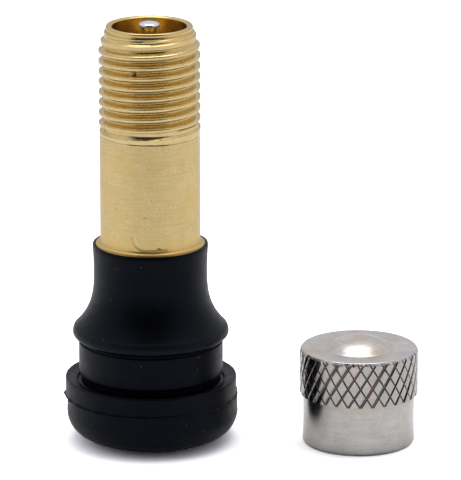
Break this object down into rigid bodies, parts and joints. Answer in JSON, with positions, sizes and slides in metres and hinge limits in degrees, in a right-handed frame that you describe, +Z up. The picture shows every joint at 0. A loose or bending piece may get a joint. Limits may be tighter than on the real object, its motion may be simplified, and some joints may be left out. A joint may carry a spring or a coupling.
{
  "type": "tyre valve",
  "caption": "Snap-in tubeless tyre valve: rubber body moulded on a threaded brass stem with a screw-in spring-loaded core, and its knurled metal dust cap standing beside it.",
  "frame": {"origin": "on the floor, in the middle of the footprint of the valve and its cap", "axes": "+Z up along the valve's axis towards its mouth, +X from the valve towards the cap"},
  "size_m": [0.0272, 0.0136, 0.0326],
  "materials": {
    "rubber": "matte black moulded rubber",
    "brass": "turned brass with fine machining lines",
    "core_brass": "plain turned brass",
    "packing": "smooth off-white packing",
    "pin_steel": "bright plated",
    "spring_wire": "drawn wire",
    "seal": "smooth black seal rubber",
    "nickel": "satin nickel plate"
  },
  "bodies": {
    "valve": {"rubber_body": "rubber", "brass_stem": "brass", "cap_shell": "nickel", "cap_gasket": "seal"},
    "core_barrel": {"core_barrel": "core_brass", "core_washer": "packing", "core_spring": "spring_wire"},
    "core_plug": {"core_plug": "core_brass"},
    "core_pin": {"core_pin": "pin_steel", "plunger_cup": "core_brass", "plunger_seal": "seal"}
  },
  "joints": [
    {"name": "core_rise", "type": "slide", "parent": "valve", "child": "core_barrel", "axis": [0, 0, 1], "range_m": [0, 0.00564]},
    {"name": "core_unscrew", "type": "hinge", "parent": "core_barrel", "child": "core_plug", "pos_m": [-0.00679, 0, 0.0274], "axis": [0, 0, 1], "range_deg": [0, 2880]},
    {"name": "pin_press", "type": "slide", "parent": "core_barrel", "child": "core_pin", "axis": [0, 0, -1], "range_m": [0, 0.0015], "stiffness_N_per_m": 600, "springref_m": -0.004, "deforming": ["core_spring"]}
  ],
  "couplings": [
    {"joint": "core_unscrew", "follows": "core_rise", "rad_per_m": 8905.3}
  ]
}
